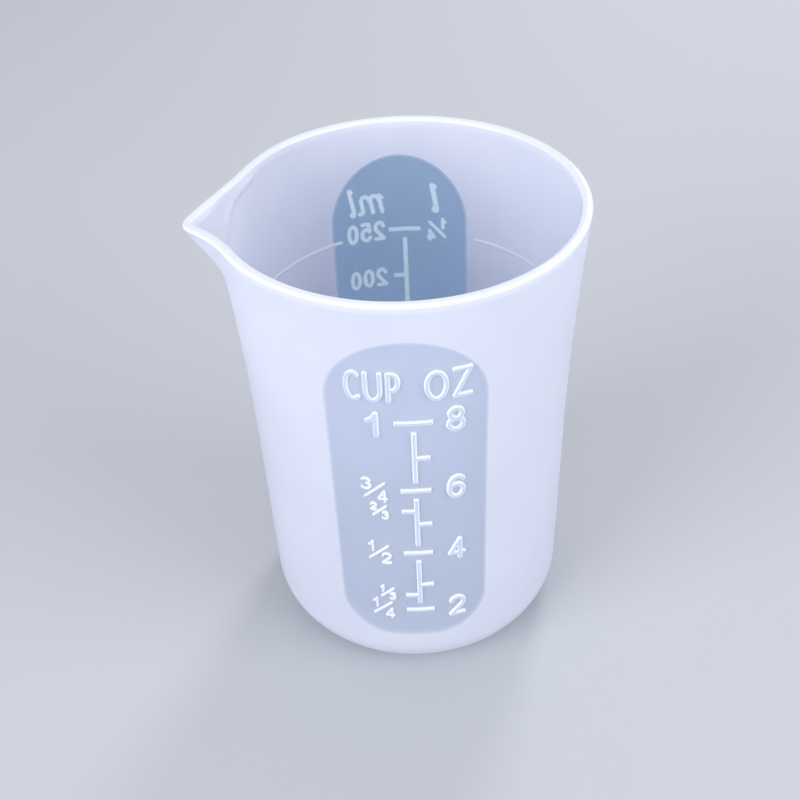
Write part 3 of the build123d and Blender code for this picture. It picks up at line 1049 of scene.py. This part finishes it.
class CUP_OT_add_level_rings(Operator):
    """Adds the thin raised rings inside the wall, which stop at the windows"""

    bl_idname = "cup.add_level_rings"
    bl_label = "Level Rings"

    def execute(self, context):
        scene = context.scene
        wall, marks = Wall(scene), scene.cup_marks
        names = ("half_cup", "three_quarter_cup", "one_cup")
        for name, value in zip(names, BAR_SHARES[1:]):
            height = scale_height(marks, value)
            radius = float(wall.round_radius(height)) - scene.cup_body.wall
            ends = [
                math.acos((middle + reach) / radius)
                for middle in (marks.ring_front, marks.ring_rear)
                for reach in (marks.ring_gap, -marks.ring_gap)
            ]
            arcs = ((-ends[0], ends[2]), (ends[3], 2 * math.pi - ends[1]))
            rings = [level_ring(radius, height, start, end, marks) for start, end in arcs]
            points, faces = sheet_mesh(*stacked(rings))
            # The rings take the near-white edge finish: a painted highlight along them
            materials = [painted_highlight_silicone(scene.cup_colours)]
            add_piece(name + "_ring", points, faces, materials, ["level_ring_" + name])
        return {"FINISHED"}


def level_ring(radius, height, start, end, marks):
    """A raised line inside the wall: half an ellipse carried round an arc. Near each end the section
    shrinks to a point as the root of the way left, so that the ends are round."""
    way = np.sin(np.linspace(-math.pi / 2, math.pi / 2, RING_COLUMNS + 1))
    turn = start + (end - start) * (way + 1) / 2
    left = np.minimum(turn - start, end - turn) * radius
    scale = np.sqrt(np.clip(1 - (1 - np.clip(left / marks.ring_width, 0, 1)) ** 2, 0, 1))
    bend = np.linspace(0, math.pi, 2 * ROUND_STEPS + 1)
    in_by = np.concatenate([marks.ring_relief * np.sin(bend), [-marks.seat, -marks.seat]])
    up_by = np.concatenate([marks.ring_width / 2 * np.cos(bend), [-marks.ring_width / 2, marks.ring_width / 2]])
    points = turned(radius - in_by[:, None] * scale, turn, height + up_by[:, None] * scale)
    return points.reshape(-1, 3), grid_quads(len(in_by), RING_COLUMNS + 1, over=True)


def glyph(name, middle, size, line, lean=0.0):
    """Centre lines of a letter or figure whose strokes fill a box of this size about its middle.
    Lean moves its top to the viewer's right, and its foot as far to the left."""
    strokes = []
    for stroke in GLYPHS[name]:
        points = (np.array(stroke) - 0.5) * (size[0] - line, size[1] - line) + middle
        points[:, 0] += lean * (points[:, 1] - middle[1]) / size[1]
        strokes.append(points)
    return strokes


def letter(name, middle, size, line, lean=0.0):
    """The shape of a letter or figure, from its centre lines and the width of its strokes."""
    return inside_strokes(glyph(name, middle, size, line, lean), line)


def fraction(top, bottom, middle, size, line):
    """A fraction as tall as its slash: small figures to the upper left and the lower right of it,
    which run into it where they touch."""
    strokes = []
    for name, (right, up) in ((top, TOP_FIGURE), (bottom, BOTTOM_FIGURE)):
        width = ONE_WIDTH if name == "1" else FIGURE_WIDTH
        place = (middle[0] + right * size, middle[1] + up * size)
        strokes += glyph(name, place, (width * size, FIGURE_HEIGHT * size), line)
    return inside_strokes(strokes + glyph("/", middle, (size, size), line), line)


class CUP_OT_add_front_labels(Operator):
    """Adds the raised numbers and unit words of the front scale"""

    bl_idname = "cup.add_front_labels"
    bl_label = "Front Labels"

    def execute(self, context):
        scene = context.scene
        sizes, marks = scene.cup_labels, scene.cup_marks
        words = [
            letter(name, (x * MM, sizes.word_middle), (width * MM, sizes.word_height), sizes.word_line)
            for name, (x, width) in FRONT_LETTERS.items()
        ]
        add_marks(scene, "front_unit_words", words, -1)
        size, line = (sizes.numeral_width, sizes.numeral_height), sizes.numeral_line
        ounces = [
            letter(name, (sizes.numeral_x, scale_height(marks, value)), size, line)
            for name, value in zip("2468", BAR_SHARES)
        ]
        add_marks(scene, "ounce_numerals", ounces, -1)
        one = (sizes.one_x, marks.scale_top - sizes.one_drop)
        cups = [letter("1", one, (sizes.one_width, sizes.numeral_height), line)]
        for top, bottom, x, height, size in CUP_FRACTIONS:
            cups.append(fraction(top, bottom, (x * MM, height * MM), size * MM, sizes.fraction_line))
        add_marks(scene, "cup_numerals", cups, -1)
        return {"FINISHED"}


class CUP_OT_add_rear_labels(Operator):
    """Adds the raised numbers and unit words of the rear scale"""

    bl_idname = "cup.add_rear_labels"
    bl_label = "Rear Labels"

    def execute(self, context):
        scene = context.scene
        sizes, marks = scene.cup_labels, scene.cup_marks
        words = []
        for name, x, up, width, height, stroke, lean in REAR_LETTERS:
            place, size = (x * MM, sizes.rear_middle + up * MM), (width * MM, height * MM)
            words.append(letter(name, place, size, stroke * sizes.rear_line, lean * sizes.slant))
        add_marks(scene, "rear_unit_words", words, 1)
        line = sizes.rear_line
        millilitres = []
        for text, value in zip(MILLILITRES, (*MILLILITRE_TICK_SHARES, 1.0)):
            for place, name in enumerate(text, 3 - len(text)):
                middle = (sizes.rear_first + place * sizes.rear_pitch, scale_height(marks, value))
                width = sizes.rear_width * (REAR_ONE_WIDTH if name == "1" else 1.0)
                millilitres.append(letter(name, middle, (width, sizes.rear_height), line))
        add_marks(scene, "millilitre_numerals", millilitres, 1)
        x, tall, stroke = LITRE_FRACTION
        quarter = fraction("1", "4", (x * MM, marks.scale_top), tall * MM, stroke * line)
        add_marks(scene, "litre_fraction", [quarter], 1)
        return {"FINISHED"}


class CUP_OT_add_stage(Operator):
    """Adds the pale floor, the soft lamps and the camera"""

    bl_idname = "cup.add_stage"
    bl_label = "Stage"

    def execute(self, context):
        scene = context.scene
        scene.view_settings.view_transform = "Standard"
        add_floor(scene)
        for name, (place, size, power) in SOFT_BOXES.items():
            add_lamp(name, place, size, power)
        add_world(scene)
        add_camera(scene)
        return {"FINISHED"}


def add_floor(scene):
    """A round floor, two metres across, on its own."""
    turn = np.linspace(0, 2 * math.pi, STAGE_COLUMNS, endpoint=False)
    rim = turned(1.0, turn, 0.0)
    mesh = bpy.data.meshes.new("studio_floor")
    mesh.from_pydata(rim.tolist(), [], [list(range(len(turn)))])
    mesh.materials.append(studio_floor(scene.cup_colours))
    linked("studio_floor", mesh)


def add_lamp(name, place, size, power):
    """A square soft box that faces the middle of the cup."""
    lamp = bpy.data.lights.new(name, "AREA")
    lamp.shape = "SQUARE"
    lamp.size = size
    lamp.energy = power
    lamp.color = hex_colour("#FCFCFF")[:3]
    holder = linked(name, lamp)
    middle = Vector((0, 0, cad_high.z / 2))
    holder.location = place
    holder.rotation_euler = (middle - holder.location).to_track_quat("-Z", "Y").to_euler()


def add_world(scene):
    """An even pale surround."""
    world = bpy.data.worlds.new("studio_surround")
    world.use_nodes = True
    world.node_tree.nodes.clear()
    light = {"Color": hex_colour("#F6F8FF"), "Strength": SURROUND_STRENGTH}
    glow = add_node(world.node_tree, "ShaderNodeBackground", light)
    add_node(world.node_tree, "ShaderNodeOutputWorld", {"Surface": glow})
    scene.world = world


def add_camera(scene):
    """The photograph's view: from the front and above, rolled a little."""
    place = Vector(CAMERA_PLACE) * MM
    target = Vector(CAMERA_TARGET) * MM
    roll = math.radians(CAMERA_ROLL)
    forward = (target - place).normalized()
    right = forward.cross(Vector((0, 0, 1))).normalized()
    up = right.cross(forward)
    across = math.cos(roll) * right + math.sin(roll) * up
    upward = math.cos(roll) * up - math.sin(roll) * right
    camera = bpy.data.cameras.new("photo_camera")
    camera.lens = CAMERA_LENS
    camera.sensor_width = CAMERA_SENSOR
    holder = linked("photo_camera", camera)
    holder.matrix_world = Matrix.Translation(place) @ Matrix((across, upward, -forward)).transposed().to_4x4()
    scene.camera = holder


BUILDERS = (
    CUP_OT_add_foot,
    CUP_OT_add_wall,
    CUP_OT_add_windows,
    CUP_OT_add_lip,
    CUP_OT_add_rim,
    CUP_OT_add_scale_lines,
    CUP_OT_add_level_rings,
    CUP_OT_add_front_labels,
    CUP_OT_add_rear_labels,
    CUP_OT_add_stage,
)


class CUP_PT_builders(Panel):
    """Lists the cup's builders, and its sizes and colours"""

    bl_label = "Silicone Mixing Cup"
    bl_idname = "CUP_PT_builders"
    bl_space_type = "VIEW_3D"
    bl_region_type = "UI"
    bl_category = "Mixing Cup"

    def draw(self, context):
        column = self.layout.column(align=True)
        for builder in BUILDERS:
            column.operator(builder.bl_idname)
        for name, group in SETTINGS.items():
            box = self.layout.box()
            for size in group.__annotations__:
                box.prop(getattr(context.scene, name), size)


SETTINGS = {
    "cup_body": CupBodySizes,
    "cup_lip": PouringLipSizes,
    "cup_window": WindowSizes,
    "cup_marks": MarkSizes,
    "cup_labels": LabelSizes,
    "cup_colours": SiliconeColours,
}


def register():
    """Registers the classes and hangs the settings on the scene."""
    for name, group in SETTINGS.items():
        bpy.utils.register_class(group)
        setattr(bpy.types.Scene, name, PointerProperty(type=group))
    for builder in BUILDERS:
        bpy.utils.register_class(builder)
    bpy.utils.register_class(CUP_PT_builders)


def unregister():
    """Takes the classes and the settings away again."""
    bpy.utils.unregister_class(CUP_PT_builders)
    for builder in reversed(BUILDERS):
        bpy.utils.unregister_class(builder)
    for name, group in reversed(SETTINGS.items()):
        delattr(bpy.types.Scene, name)
        bpy.utils.unregister_class(group)


def main():
    """Builds the cup and its stage."""
    register()
    bpy.ops.cup.add_foot()
    bpy.ops.cup.add_wall()
    bpy.ops.cup.add_windows()
    bpy.ops.cup.add_lip()
    bpy.ops.cup.add_rim()
    bpy.ops.cup.add_scale_lines()
    bpy.ops.cup.add_level_rings()
    bpy.ops.cup.add_front_labels()
    bpy.ops.cup.add_rear_labels()
    bpy.ops.cup.add_stage()


if __name__ == "__main__":
    main()
